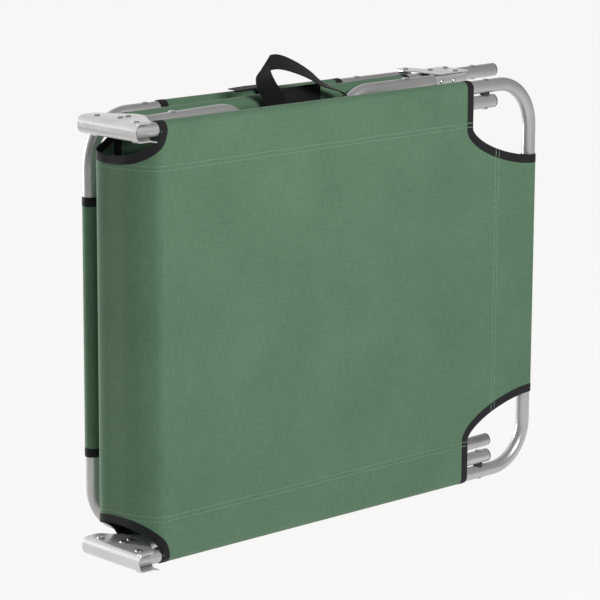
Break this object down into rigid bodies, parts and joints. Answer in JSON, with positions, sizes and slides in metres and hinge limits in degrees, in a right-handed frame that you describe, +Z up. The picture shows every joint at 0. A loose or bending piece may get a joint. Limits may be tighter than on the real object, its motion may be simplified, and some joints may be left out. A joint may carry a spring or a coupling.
{
  "type": "folding cot",
  "caption": "Three-section folding camp cot in silver tube and green fabric, folded flat for carrying, with U-shaped legs, pressed hinge brackets and a webbing handle.",
  "frame": {"origin": "centre of the bounding box on the surface that the folded cot stands on", "axes": "+X along the rails from the front hinge, +Y from the front section towards the rear section, +Z up, across the cot's width"},
  "size_m": [0.7486, 0.16, 0.6062],
  "materials": {
    "silver_tube": "satin silver paint",
    "bracket_steel": "bright zinc plate",
    "rivet_steel": "bright",
    "green_fabric": "fine plain weave",
    "black_tape": "ribbed binding tape",
    "black_webbing": "woven webbing",
    "black_plastic": "moulded"
  },
  "bodies": {
    "middle_section": {"middle_rail_top": "silver_tube", "middle_rail_bottom": "silver_tube", "middle_end_caps": "black_plastic", "middle_end_rivets": "rivet_steel", "rear_hinge_bracket_top": "bracket_steel", "rear_hinge_bracket_bottom": "bracket_steel", "rear_bracket_rivets": "rivet_steel", "rear_hinge_pivots": "rivet_steel", "middle_leg_pivots": "rivet_steel", "middle_fabric": "green_fabric", "middle_binding": "black_tape", "carry_handle": "black_webbing", "closing_strap": "black_webbing"},
    "front_hinge": {"front_hinge_bracket_top": "bracket_steel", "front_hinge_bracket_bottom": "bracket_steel", "front_hinge_pivots": "rivet_steel", "front_middle_leg_rivets": "rivet_steel", "front_middle_leg": "silver_tube", "front_leg_plug_rivets": "rivet_steel", "hinge_fabric": "green_fabric"},
    "front_section": {"front_frame": "silver_tube", "front_fabric": "green_fabric", "front_binding": "black_tape", "front_leg_pivots": "rivet_steel", "front_leg_spacers": "black_plastic"},
    "front_leg": {"front_end_leg": "silver_tube", "front_leg_caps": "black_plastic"},
    "rear_middle_leg": {"rear_middle_leg": "silver_tube", "middle_leg_sockets": "bracket_steel", "socket_rivets": "rivet_steel", "rear_leg_plug_rivets": "rivet_steel"},
    "rear_section": {"rear_frame": "silver_tube", "rear_fabric": "green_fabric", "rear_binding": "black_tape", "rear_rail_rivets": "rivet_steel", "rear_leg_pivots": "rivet_steel", "rear_leg_spacers": "black_plastic"},
    "rear_leg": {"rear_end_leg": "silver_tube", "rear_leg_caps": "black_plastic"}
  },
  "joints": [
    {"name": "front_hinge_fold", "type": "hinge", "parent": "middle_section", "child": "front_hinge", "pos_m": [-0.36028, 0.01005, 0.2787], "axis": [0, 0, 1], "range_deg": [-87.2, 0]},
    {"name": "front_section_fold", "type": "hinge", "parent": "front_hinge", "child": "front_section", "pos_m": [-0.36028, -0.06395, 0.2787], "axis": [0, 0, 1], "range_deg": [-90, 0]},
    {"name": "front_leg_fold", "type": "hinge", "parent": "front_section", "child": "front_leg", "pos_m": [0.24172, -0.06395, 0.2787], "axis": [0, 0, 1], "range_deg": [-90, 0]},
    {"name": "rear_middle_leg_fold", "type": "hinge", "parent": "middle_section", "child": "rear_middle_leg", "pos_m": [0.26172, 0.01165, 0.2787], "axis": [0, 0, 1], "range_deg": [0, 105.2]},
    {"name": "rear_section_fold", "type": "hinge", "parent": "middle_section", "child": "rear_section", "pos_m": [0.22272, 0.06705, 0.2787], "axis": [0, 0, 1], "range_deg": [-180.6, 0]},
    {"name": "rear_leg_fold", "type": "hinge", "parent": "rear_section", "child": "rear_leg", "pos_m": [-0.23728, 0.06705, 0.2787], "axis": [0, 0, 1], "range_deg": [0, 90]}
  ],
  "couplings": [
    {"joint": "front_leg_fold", "follows": "front_section_fold", "ratio": 1},
    {"joint": "rear_middle_leg_fold", "follows": "front_hinge_fold", "ratio": -1.204}
  ]
}
